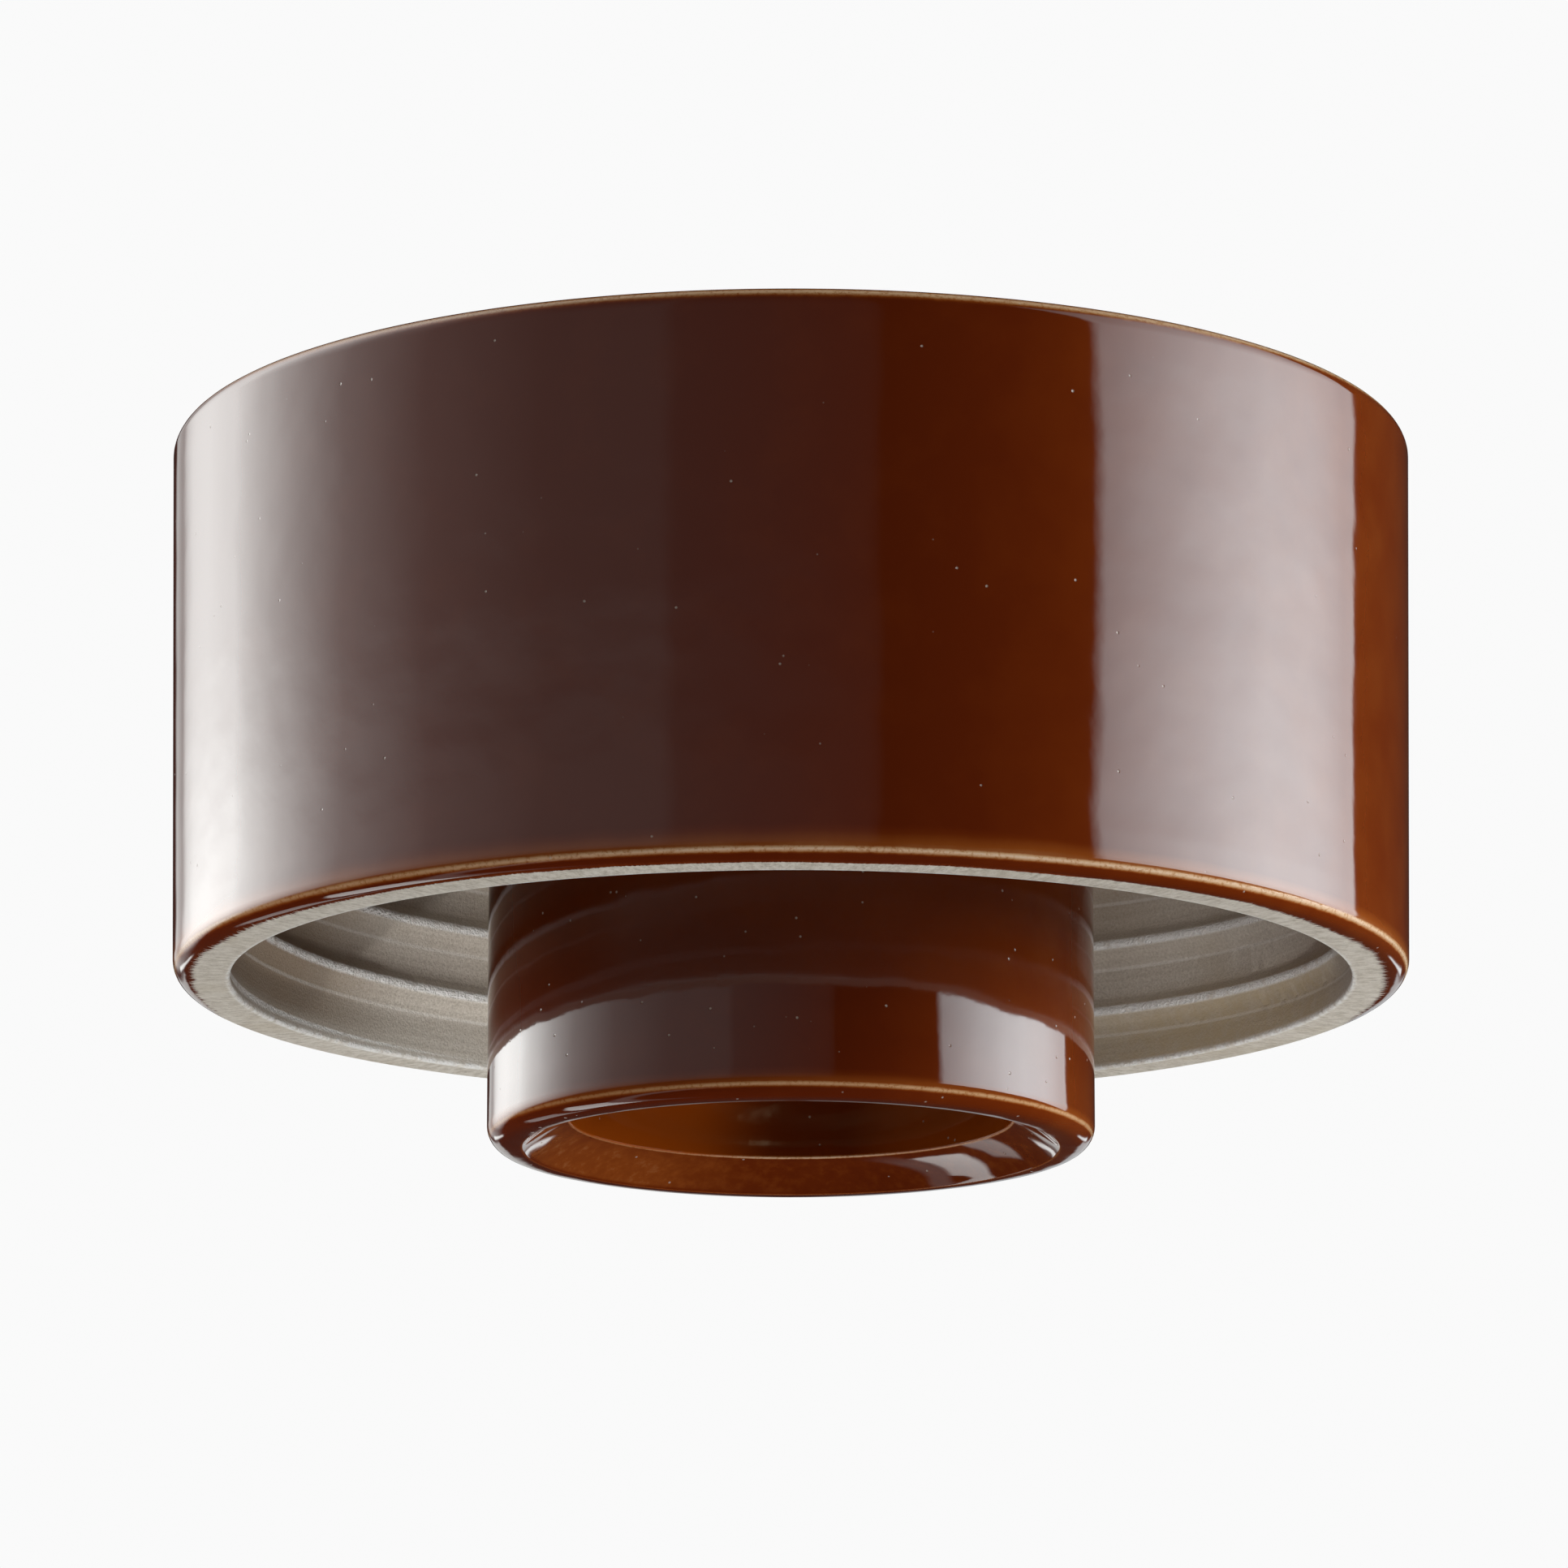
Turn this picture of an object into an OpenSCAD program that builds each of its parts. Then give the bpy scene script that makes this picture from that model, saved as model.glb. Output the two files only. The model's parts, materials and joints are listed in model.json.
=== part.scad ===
// Glazed porcelain ceiling lampholder base for a screw-in glass globe.
// Origin at the centre of the ceiling face, +Z up into the ceiling, the body hangs below.

/* [Skirt] */
// Outer diameter of the skirt at its top
skirt_top_d = 94; // [92.5:0.1:96]
// Outer diameter of the skirt at its mouth
skirt_d = 92.9; // [92:0.1:95]
// Height of the skirt from the ceiling face to the mouth
skirt_h = 41.6; // [41:0.2:45]
// Inner diameter at the mouth of the skirt
mouth_d = 84.2; // [83.6:0.1:84.8]
// Diameter at the root of the glass thread
thread_root_d = 85.4; // [85.2:0.1:86]
// Diameter at the crest of the glass thread
thread_crest_d = 83.5; // [83:0.1:84]
// Pitch of the glass thread
thread_pitch = 5.3; // [5:0.1:5.6]
// Rounding of the skirt's upper outer edge
skirt_top_round = 1.4; // [0.8:0.1:2]
// Rounding of the skirt's lower outer edge
skirt_low_round = 1.4; // [1:0.1:2.4]

/* [Collar] */
// How far the collar stands out below the skirt
collar_drop = 12.5; // [10:0.5:15]
// Outer diameter of the collar
collar_d = 45.6; // [45:0.2:48]
// Rounding of the collar's lower outer edge
collar_round = 1.65; // [1:0.05:2]
// Diameter of the dish where it meets the collar's rim
dish_d = 40.2; // [39:0.2:41]
// Depth of the dish
dish_depth = 2.3; // [1.5:0.1:3]
// Diameter of the glazed bore above the dish
bore_d = 33.2; // [32:0.2:34]

/* [Lamp thread] */
// Pitch of the lamp screw shell
lamp_pitch = 3.63; // [3.6:0.01:3.66]
// Smallest inner diameter of the screw shell
shell_minor_d = 24.5; // [24.3:0.1:24.7]
// Largest inner diameter of the screw shell
shell_major_d = 26.7; // [26.6:0.1:26.8]
// Thickness of the screw shell's sheet
shell_wall = 0.45; // [0.35:0.05:0.5]

/* [Fixing] */
// Distance between the two mounting holes
mount_spacing = 60; // [58:1:62]
// Diameter of each mounting hole
mount_hole_d = 5.2; // [5:0.1:5.6]
// Diameter of the cable hole through each grommet
cable_d = 8; // [7:0.5:8.5]

/* [Hidden] */
$fn = 96;
eps = 0.01;      // overlap that joins two solids of one piece
fit = 0.05;      // radial clearance of a running fit
gap = 0.02;      // clearance between pieces that lie face to face and move
arc_steps = 6;   // steps in the arc of a rounded edge

// Levels, all measured from the ceiling face
skirt_r = skirt_d / 2;
skirt_top_r = skirt_top_d / 2;
mouth_z = -skirt_h;
collar_r = collar_d / 2;
collar_z = mouth_z - collar_drop;
cavity_r = 41;
web_top_z = -11;
web_low_z = -17;
pocket_r = 18;
floor_top_z = -17;
floor_low_z = -23;
shell_pocket_r = 14.6;
shell_mouth_z = collar_z + 7.8;
bore_r = bore_d / 2;
root_r = thread_root_d / 2;
crest_r = thread_crest_d / 2;

// Glass thread: a right-hand ridge, its flank facing the mouth is the long one
flank_h = 1.75;
ridge_back_h = 1.15;
ridge_flat = 0.15;
ridge_step = 7.5;         // degrees between two sections of the ridge
ridge_start = -70;        // azimuth where the ridge begins
ridge_end = 900;          // azimuth where it has run out
ridge_fade = 40;          // degrees over which it grows and dies away
ridge_back_z = 5.2;       // height of the crest above the mouth at azimuth 90

// Gaskets
gasket_in_r = 42.2;
gasket_out_r = 44.2;
gasket_depth = 1.6;
glass_gasket_in_r = 38;
glass_gasket_h = 2;

// Centre contact
housing_r = 3.4;
housing_flange_r = 4.4;
housing_flange_h = 1;
housing_top_z = -15.2;
plunger_r = 2.6;
nose_r = 2.0;
nose_z = -27.6;
plunger_travel = 2;
nose_land_z = -22.6;
housing_roof_z = -16.4;
stud_r = 1.5;
rib_in_r = 5.1;
rib_out_r = 6.2;
rib_h = 1.6;

// Screw shell and its two screws
shell_floor_in_r = 6.8;
shell_rim_r = 15.5;
shell_screw_at = 9.4;
shell_screw_r = 1.3;
shell_screw_head_r = 2.2;

// Strips and terminals
strip_t = 0.8;
strip_w = 7;
block_at = 30.5;
block_l = 12;
block_w = 8;
block_h = 6.5;
block_screw_at = 27.2;
block_screw_r = 1.5;
clamp_at = 33;
clamp_screw_r = 2;
clamp_travel = 2.4;
saddle_t = 1.2;
saddle_l = 6.6;
saddle_ear = 2.2;
line_az = 0;
neutral_az = 180;
earth_az = 315;

// Mounting bosses, grommets and back plate
boss_r = 6;
seal_r = 5.2;
seal_in_r = 3;
seal_h = 1.4;
seal_recess = 2;
grommet_at = 30.9;
grommet_azimuths = [45, 135];
grommet_hole_r = 5.6;
grommet_flange_r = 7.5;
grommet_lip_r = 6.6;
grommet_flange_h = 1.5;
plate_top_z = -6.2;
plate_t = 1.2;
plate_r = 40.4;
post_at = 38;
post_azimuths = [22.5, 202.5];
post_r = 3.4;
rivet_r = 1.5;
rivet_head_r = 2.8;

function arc(cx, cy, r, a0, a1) = [for (i = [0:arc_steps]) let (a = a0 + (a1 - a0) * i / arc_steps)
    [cx + r * cos(a), cy + r * sin(a)]];

// A place on the part at a given azimuth and distance from the axis
module at(azimuth, distance = 0, z = 0) {
    rotate([0, 0, azimuth]) translate([distance, 0, z]) children();
}

// A ring between two radii, from z0 up to z1
module ring(r_in, r_out, z0, z1) {
    translate([0, 0, z0]) difference() {
        cylinder(r = r_out, h = z1 - z0);
        translate([0, 0, -1]) cylinder(r = r_in, h = z1 - z0 + 2);
    }
}

// A cylinder from z0 up to z1
module post(r, z0, z1) {
    translate([0, 0, z0]) cylinder(r = r, h = z1 - z0);
}

// A block centred on the X and Y axes, from z0 up to z1
module slab(l, w, z0, z1) {
    translate([-l / 2, -w / 2, z0]) cube([l, w, z1 - z0]);
}

// A solid swept through a list of sections, all with the same number of points.
// A closed one joins its last section to its first, and an open one is capped at both ends.
module swept(sections, closed = false) {
    count = len(sections);
    n = len(sections[0]);
    steps = closed ? count : count - 1;
    polyhedron(points = [for (s = sections) each s], convexity = 10, faces = concat(
        closed ? [] : [[for (k = [0:n - 1]) k]],
        [for (i = [0:steps - 1]) for (k = [0:n - 1]) let (j = (i + 1) % count, m = (k + 1) % n)
            each [[i * n + k, j * n + k, i * n + m], [i * n + m, j * n + k, j * n + m]]],
        closed ? [] : [[for (k = [n - 1:-1:0]) (count - 1) * n + k]]));
}

// ---- porcelain ----

// Outline of the fired body: skirt, web, collar, bore and lampholder floor
cove_steps = 8;
cove_hollow = 0.25;      // 0 is a straight cone, 1 a quarter of an ellipse
function cove() = [for (i = [0:cove_steps]) let (s = i / cove_steps)
    [bore_r + (dish_d / 2 - bore_r) * ((1 - cove_hollow) * (1 - s) + cove_hollow * cos(90 * s)),
     collar_z + dish_depth * ((1 - cove_hollow) * s + cove_hollow * sin(90 * s))]];
function body_outline() = concat(
    [[cavity_r, 0]],
    arc(skirt_top_r - skirt_top_round, -skirt_top_round, skirt_top_round, 90, 0),
    arc(skirt_r - skirt_low_round, mouth_z + skirt_low_round, skirt_low_round, 0, -90),
    [[mouth_d / 2 + 0.3, mouth_z], [mouth_d / 2, mouth_z + 0.3], [root_r, mouth_z + flank_h * 2]],
    arc(root_r - 2, web_low_z - 2, 2, 0, 90),
    arc(collar_r + 1.5, web_low_z - 1.5, 1.5, 90, 180),
    arc(collar_r - collar_round, collar_z + collar_round, collar_round, 0, -90),
    [[dish_d / 2 + 0.4, collar_z]],
    cove(),
    [[bore_r, shell_mouth_z - shell_wall], [shell_rim_r + 0.3, shell_mouth_z - shell_wall],
     [shell_rim_r + 0.3, shell_mouth_z], [shell_pocket_r, shell_mouth_z], [shell_pocket_r, floor_low_z],
     [rib_out_r, floor_low_z], [rib_out_r, floor_low_z - rib_h], [rib_in_r, floor_low_z - rib_h],
     [rib_in_r, floor_low_z], [0, floor_low_z], [0, floor_top_z]],
    arc(pocket_r - 1.5, floor_top_z + 1.5, 1.5, -90, 0),
    [[pocket_r, web_top_z]],
    arc(cavity_r - 2, web_top_z + 2, 2, -90, 0));

// One section of the thread ridge, in distance from the axis and height from its crest
ridge_slope = flank_h / (root_r - crest_r);
ridge_bury = 0.6;
function ridge_section(azimuth) =
    let (grow = min(1, (azimuth - ridge_start) / ridge_fade, (ridge_end - azimuth) / ridge_fade),
         tip = root_r + 0.1 - (root_r + 0.1 - crest_r) * max(0, grow),
         low = ridge_flat + (root_r + ridge_bury - tip) * ridge_slope,
         high = ridge_flat + ridge_back_h,
         z = mouth_z + ridge_back_z + thread_pitch * (azimuth - 90) / 360)
    [for (p = [[root_r + ridge_bury, -low], [tip, -ridge_flat], [tip, ridge_flat],
               [root_r + ridge_bury, high]])
        [p[0] * cos(azimuth), p[0] * sin(azimuth), z + p[1]]];

module thread_ridge() {
    swept([for (a = [ridge_start:ridge_step:ridge_end]) ridge_section(a)]);
}

module porcelain_base() {
    color([0.40, 0.15, 0.06]) union() {
        thread_ridge();
        difference() {
            union() {
                rotate_extrude() polygon(body_outline());
                for (side = [-1, 1])
                    translate([0, side * mount_spacing / 2, 0]) post(boss_r, web_top_z - 1, 0);
                for (a = post_azimuths)
                    at(a, post_at) post(post_r, web_top_z - 1, plate_top_z - plate_t);
            }
            ring(gasket_in_r, gasket_out_r, -gasket_depth, 1);
            for (side = [-1, 1]) translate([0, side * mount_spacing / 2, 0]) {
                post(mount_hole_d / 2, web_low_z - 1, 1);
                post(seal_r + 0.2, web_low_z - 1, web_low_z + seal_recess);
            }
            for (a = grommet_azimuths) at(a, grommet_at) post(grommet_hole_r, web_low_z - 1, web_top_z + 1);
            for (a = [line_az, neutral_az, earth_az])
                at(a, block_screw_at) post(block_screw_r + 0.2, web_low_z - 1, web_top_z + 1);
            for (a = [90, 270])
                at(a, shell_screw_at) post(shell_screw_r + 0.1, floor_low_z - 1, floor_top_z + 1);
            post(housing_r + 0.1, floor_low_z - 1, floor_top_z + 1);
            for (a = post_azimuths)
                at(a, post_at) post(rivet_r, plate_top_z - plate_t - 4, 0);
        }
    }
}

// ---- gaskets, seals and grommets ----

module ceiling_gasket() {
    color([0.2, 0.2, 0.2]) ring(gasket_in_r, gasket_out_r, -gasket_depth, 0);
}

module glass_gasket() {
    color([0.85, 0.84, 0.8])
        ring(glass_gasket_in_r, root_r - 2.1, web_low_z - glass_gasket_h, web_low_z);
}

module mounting_seals() {
    color([0.2, 0.2, 0.2]) for (side = [-1, 1]) translate([0, side * mount_spacing / 2, 0])
        ring(seal_in_r, seal_r, web_low_z + seal_recess - seal_h, web_low_z + seal_recess);
}

module grommet() {
    spout_h = 3;
    difference() {
        union() {
            post(grommet_hole_r, web_low_z - 1, web_top_z + 1);
            post(grommet_flange_r, web_top_z, web_top_z + grommet_flange_h);
            post(grommet_lip_r, web_low_z - grommet_flange_h, web_low_z);
            translate([0, 0, web_low_z - grommet_flange_h - spout_h])
                cylinder(r1 = cable_d / 2 + 0.9, r2 = cable_d / 2 + 1.7, h = spout_h + eps);
        }
        post(cable_d / 2, web_low_z - 10, web_top_z + 10);
    }
}

module cable_grommets() {
    color([0.12, 0.12, 0.12]) for (a = grommet_azimuths) at(a, grommet_at) grommet();
}

// ---- screw shell ----

// The sheet follows the rounded lamp thread, so its radius is a wave that climbs one pitch a turn.
// The wave runs out into a wide mouth with a rim below, and into a narrow neck with a floor above.
shell_sides = 40;
shell_rows = 5;          // rows of points in one pitch
shell_fade = 2;          // height over which the wave runs out
shell_top_z = floor_low_z - shell_wall;
shell_low_z = shell_mouth_z - shell_wall;
function blend(a, b, t) = a + (b - a) * min(1, max(0, t));
function shell_wave(angle, z) = (shell_minor_d + shell_major_d) / 4
    + (shell_major_d - shell_minor_d) / 4 * cos(360 * z / lamp_pitch - angle);
function shell_radius(angle, z) = blend(shell_minor_d / 2,
    blend(shell_major_d / 2, shell_wave(angle, z), (z - shell_low_z) / shell_fade),
    (shell_top_z - z) / shell_fade);
function shell_section(angle) =
    let (rows = ceil((shell_top_z - shell_low_z) * shell_rows / lamp_pitch),
         levels = [for (j = [0:rows]) shell_low_z + (shell_top_z - shell_low_z) * j / rows],
         inner = [for (z = levels) [shell_radius(angle, z), z]],
         outer = [for (j = [rows:-1:0]) inner[j] + [shell_wall, shell_wall]],
         rim = [[shell_rim_r, shell_mouth_z], [shell_rim_r, shell_low_z]],
         floor_edge = [[shell_floor_in_r, shell_top_z], [shell_floor_in_r, floor_low_z]])
    [for (p = concat(floor_edge, outer, rim, inner)) [p[0] * cos(angle), p[0] * sin(angle), p[1]]];

module screw_shell() {
    color([0.86, 0.74, 0.42]) difference() {
        swept([for (i = [0:shell_sides - 1]) shell_section(360 * i / shell_sides)], closed = true);
        for (a = [90, 270]) at(a, shell_screw_at) post(shell_screw_r, floor_low_z - 2, floor_low_z + 1);
    }
}

module shell_screws() {
    head_h = 1.5;
    low = shell_top_z;
    color([0.8, 0.66, 0.32]) for (a = [90, 270]) at(a, shell_screw_at) difference() {
        union() {
            post(shell_screw_head_r, low - head_h, low);
            post(shell_screw_r - fit, low - eps, floor_top_z + 3.6);
        }
        slab(6, 0.7, low - head_h - 1, low - head_h + 0.7);
    }
}

module hex_nut(across_flats, hole_r, z0, z1) {
    difference() {
        translate([0, 0, z0]) cylinder(d = across_flats / cos(30), h = z1 - z0, $fn = 6);
        post(hole_r, z0 - 1, z1 + 1);
    }
}

module shell_nuts() {
    color([0.8, 0.66, 0.32]) for (a = [90, 270])
        at(a, shell_screw_at) hex_nut(5, shell_screw_r, floor_top_z + strip_t, floor_top_z + strip_t + 2);
}

// ---- contact strips on the back ----

module neutral_strip() {
    in_r = shell_screw_at - 3.2;
    out_r = shell_screw_at + 3.2;
    riser_x = 15.2;
    color([0.8, 0.66, 0.32]) difference() {
        union() {
            intersection() {
                ring(in_r, out_r, floor_top_z, floor_top_z + strip_t);
                union() {
                    translate([-20, -20, floor_top_z - 1]) cube([20, 40, 3]);
                    for (a = [90, 270]) at(a, shell_screw_at) post(3.2, floor_top_z - 1, floor_top_z + 2);
                }
            }
            translate([-riser_x, -strip_w / 2, floor_top_z])
                cube([riser_x - out_r + 0.8, strip_w, strip_t]);
            translate([-riser_x, -strip_w / 2, floor_top_z])
                cube([strip_t, strip_w, web_top_z - floor_top_z + strip_t]);
            translate([-block_screw_at - 4, -strip_w / 2, web_top_z])
                cube([block_screw_at + 4 - riser_x + eps, strip_w, strip_t]);
        }
        for (a = [90, 270]) at(a, shell_screw_at) post(shell_screw_r, -30, 0);
        at(neutral_az, block_screw_at) post(block_screw_r + 0.1, -30, 0);
    }
}

module line_strip() {
    riser_x = 14.4;
    color([0.8, 0.66, 0.32]) difference() {
        union() {
            post(4.2, housing_top_z, housing_top_z + strip_t);
            translate([0, -strip_w / 2, housing_top_z]) cube([riser_x + strip_t, strip_w, strip_t]);
            translate([riser_x, -strip_w / 2, housing_top_z])
                cube([strip_t, strip_w, web_top_z - housing_top_z + strip_t]);
            translate([riser_x, -strip_w / 2, web_top_z])
                cube([block_screw_at + 4 - riser_x, strip_w, strip_t]);
        }
        post(stud_r + 0.1, -30, 0);
        at(line_az, block_screw_at) post(block_screw_r + 0.1, -30, 0);
    }
}

// ---- sprung centre contact ----

module contact_housing() {
    stud_top_z = housing_top_z + strip_t + 3;
    color([0.8, 0.66, 0.32]) difference() {
        union() {
            post(housing_flange_r, floor_low_z - housing_flange_h, floor_low_z);
            post(housing_r, floor_low_z - eps, housing_top_z);
            post(stud_r, housing_top_z - eps, stud_top_z);
        }
        post(plunger_r + fit, nose_land_z, housing_roof_z);
        post(nose_r + fit, floor_low_z - 3, nose_land_z + eps);
    }
}

module contact_plunger() {
    shoulder_h = 1.4;
    spigot_h = 1.2;
    color([0.85, 0.75, 0.45]) union() {
        post(nose_r, nose_z + nose_r * 0.5, nose_land_z + gap + eps);
        translate([0, 0, nose_z]) cylinder(r1 = nose_r * 0.55, r2 = nose_r, h = nose_r * 0.5 + eps);
        post(plunger_r, nose_land_z + gap, nose_land_z + gap + shoulder_h);
        post(0.9, nose_land_z + gap + shoulder_h - eps, nose_land_z + gap + shoulder_h + spigot_h);
    }
}

// Open-wound spring: a round wire swept along a helix
spring_wire_r = 0.25;
spring_r = 1.75;
spring_low_z = nose_land_z + gap + 1.4;
spring_turns = 5;
spring_step = 24;
spring_sides = 6;

function spring_section(angle) =
    let (low = spring_low_z + spring_wire_r, high = housing_roof_z - spring_wire_r,
         z = low + (high - low) * angle / (360 * spring_turns))
    [for (k = [0:spring_sides - 1]) let (b = 360 * k / spring_sides, r = spring_r + spring_wire_r * cos(b))
        [r * cos(angle), r * sin(angle), z - spring_wire_r * sin(b)]];

module contact_spring() {
    color([0.75, 0.75, 0.78]) swept([for (a = [0:spring_step:360 * spring_turns]) spring_section(a)]);
}

module contact_spacer() {
    color([0.6, 0.4, 0.25]) ring(housing_r + 0.1, 5.8, floor_top_z, housing_top_z);
}

module contact_nut() {
    color([0.8, 0.66, 0.32]) hex_nut(5.5, stud_r, housing_top_z + strip_t, housing_top_z + strip_t + 2.4);
}

// ---- terminals ----

// A brass block under the web, tapped from above for its fixing and from below for the clamp screw
module terminal_block(azimuth) {
    color([0.82, 0.68, 0.34]) at(azimuth) difference() {
        translate([block_at, 0, 0]) slab(block_l, block_w, web_low_z - block_h, web_low_z);
        translate([block_screw_at, 0, 0]) post(block_screw_r, web_low_z - 4.5, web_low_z + 1);
        translate([clamp_at, 0, 0]) post(clamp_screw_r + fit, web_low_z - block_h - 1, web_low_z - 0.8);
    }
}
module line_block() { terminal_block(line_az); }
module neutral_block() { terminal_block(neutral_az); }
module earth_block() { terminal_block(earth_az); }

// Screws from the back that hold the three blocks; the earth one bears on the web itself
function seat_z(azimuth) = web_top_z + (azimuth == earth_az ? 0 : strip_t);
washer_t = 0.6;
module block_screws() {
    head_h = 1.9;
    color([0.75, 0.75, 0.78]) for (a = [line_az, neutral_az, earth_az]) at(a, block_screw_at) {
        top = seat_z(a) + washer_t;
        difference() {
            union() {
                post(2.8, top, top + head_h);
                post(block_screw_r, web_low_z - 4.4, top + eps);
            }
            slab(8, 0.8, top + head_h - 0.9, top + head_h + 1);
        }
    }
}

module lock_washers() {
    color([0.75, 0.75, 0.78]) for (a = [line_az, neutral_az, earth_az]) at(a, block_screw_at)
        ring(block_screw_r, 2.9, seat_z(a), seat_z(a) + washer_t);
}

// A plate under the clamp screw's head, with two ears turned up beside the block
module saddle(azimuth) {
    top = web_low_z - block_h - gap;
    ear_t = 0.9;
    color([0.78, 0.78, 0.76]) at(azimuth, clamp_at) difference() {
        union() {
            slab(saddle_l, block_w + 2 * (gap + 0.08 + ear_t), top - saddle_t, top);
            for (side = [-1, 1]) translate([0, side * (block_w / 2 + gap + 0.08 + ear_t / 2), 0])
                slab(saddle_l, ear_t, top - eps, top + saddle_ear);
        }
        post(clamp_screw_r + fit, top - 5, top + 5);
    }
}
module line_saddle() { saddle(line_az); }
module neutral_saddle() { saddle(neutral_az); }
module earth_saddle() { saddle(earth_az); }

module clamp_screw(azimuth) {
    head_r = 3.2;
    head_h = 2.2;
    seat = web_low_z - block_h - gap - saddle_t - gap;
    color([0.82, 0.82, 0.8]) at(azimuth, clamp_at) difference() {
        union() {
            post(head_r, seat - head_h, seat);
            post(clamp_screw_r, seat - eps, web_low_z - 1);
        }
        slab(8, 1, seat - head_h - 1, seat - head_h + 1.1);
        rotate([0, 0, 90]) slab(3.6, 1, seat - head_h - 1, seat - head_h + 1.1);
    }
}
module line_screw() { clamp_screw(line_az); }
module neutral_screw() { clamp_screw(neutral_az); }
module earth_screw() { clamp_screw(earth_az); }

// ---- back plate ----

module back_plate() {
    color([0.55, 0.38, 0.22]) difference() {
        post(plate_r, plate_top_z - plate_t, plate_top_z);
        for (side = [-1, 1]) translate([0, side * mount_spacing / 2, 0]) post(boss_r + 0.4, -10, 0);
        for (a = grommet_azimuths) at(a, grommet_at) post(grommet_hole_r, -10, 0);
        for (a = post_azimuths) at(a, post_at) post(rivet_r, -10, 0);
    }
}

module plate_rivets() {
    color([0.9, 0.9, 0.88]) for (a = post_azimuths) at(a, post_at) {
        post(rivet_head_r, plate_top_z, plate_top_z + 0.9);
        post(rivet_r, plate_top_z - plate_t - 3.5, plate_top_z + eps);
    }
}

porcelain_base();
ceiling_gasket();
glass_gasket();
screw_shell();
shell_screws();
shell_nuts();
neutral_strip();
line_strip();
contact_housing();
contact_plunger();
contact_spring();
contact_spacer();
contact_nut();
line_block();
neutral_block();
earth_block();
block_screws();
lock_washers();
line_saddle();
neutral_saddle();
earth_saddle();
line_screw();
neutral_screw();
earth_screw();
cable_grommets();
mounting_seals();
back_plate();
plate_rivets();
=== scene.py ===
"""The looks of a glazed porcelain ceiling lampholder base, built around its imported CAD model."""

import json
import math

import bmesh
import bpy
import numpy as np
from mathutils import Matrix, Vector


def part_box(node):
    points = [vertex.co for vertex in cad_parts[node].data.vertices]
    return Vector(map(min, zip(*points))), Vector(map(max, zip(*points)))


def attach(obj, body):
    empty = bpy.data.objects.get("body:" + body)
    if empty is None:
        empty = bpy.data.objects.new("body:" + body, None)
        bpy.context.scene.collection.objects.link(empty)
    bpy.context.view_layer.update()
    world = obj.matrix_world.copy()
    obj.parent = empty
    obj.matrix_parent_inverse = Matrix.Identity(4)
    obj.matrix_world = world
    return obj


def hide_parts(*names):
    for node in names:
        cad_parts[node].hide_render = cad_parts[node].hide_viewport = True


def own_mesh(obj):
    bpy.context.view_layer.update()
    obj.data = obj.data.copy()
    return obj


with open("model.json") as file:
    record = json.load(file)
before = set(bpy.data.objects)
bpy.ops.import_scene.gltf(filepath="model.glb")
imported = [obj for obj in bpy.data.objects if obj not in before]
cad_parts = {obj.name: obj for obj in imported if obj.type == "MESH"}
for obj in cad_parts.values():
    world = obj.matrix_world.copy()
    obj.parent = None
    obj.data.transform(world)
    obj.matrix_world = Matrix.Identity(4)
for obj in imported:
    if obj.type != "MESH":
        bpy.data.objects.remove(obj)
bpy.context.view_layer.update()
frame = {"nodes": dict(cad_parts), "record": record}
MM = 0.001

# ---- sizes of the fired body, in millimetres, as the CAD model has them ----

SKIRT_TOP_R, SKIRT_R, MOUTH_Z = 47.0, 46.45, -41.6
TOP_ROUND, LOW_ROUND = 1.4, 1.4
CAVITY_R, ROOT_R, CREST_R, MOUTH_R = 41.0, 42.7, 41.75, 42.1
WEB_TOP, WEB_LOW = -11.0, -17.0
COLLAR_R, COLLAR_Z, COLLAR_ROUND = 22.8, -54.1, 1.65
DISH_R, DISH_DEPTH, BORE_R = 20.1, 2.3, 16.6
SHELL_MOUTH_Z, SHELL_RIM_Z = -46.3, -46.75
SHELL_RIM_R, SHELL_POCKET_R = 15.8, 14.6
FLOOR_LOW = -23.0
GROOVE_IN_R, GROOVE_OUT_R, GROOVE_DEPTH = 42.2, 44.2, 1.6
BACK_POCKET_R = 18
CONTACT_BOSS_R, CONTACT_SEAT_R, CONTACT_HOLE_R, CONTACT_BOSS_HEIGHT = 6.2, 5.1, 3.5, 1.6
COVE_HOLLOW = 0.25  # 0 is a straight cone, 1 a quarter of an ellipse
PITCH, RIDGE_BACK_Z = 5.3, 5.2
RIDGE_START, RIDGE_END, RIDGE_FADE = -70, 900, 40
HOLE_RADIUS = {"mount": 2.6, "recess": 5.4, "grommet": 5.6, "block": 1.7, "shell": 1.4, "rivet": 1.5}
# Each kind of hole's distance from the axis, and its azimuths in degrees
HOLE_PLACES = {"mount": (30, (90, 270)), "grommet": (30.9, (45, 135)), "block": (27.2, (0, 180, 315)),
               "shell": (9.4, (90, 270)), "rivet": (38, (22.5, 202.5))}
MOUNT_BOSS_R, RIVET_BOSS_R, PLATE_LOW = 6, 3.4, -7.4
SHARP_ANGLE = math.radians(38)
TURN_STEPS = 360

# ---- node helpers ----


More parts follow.
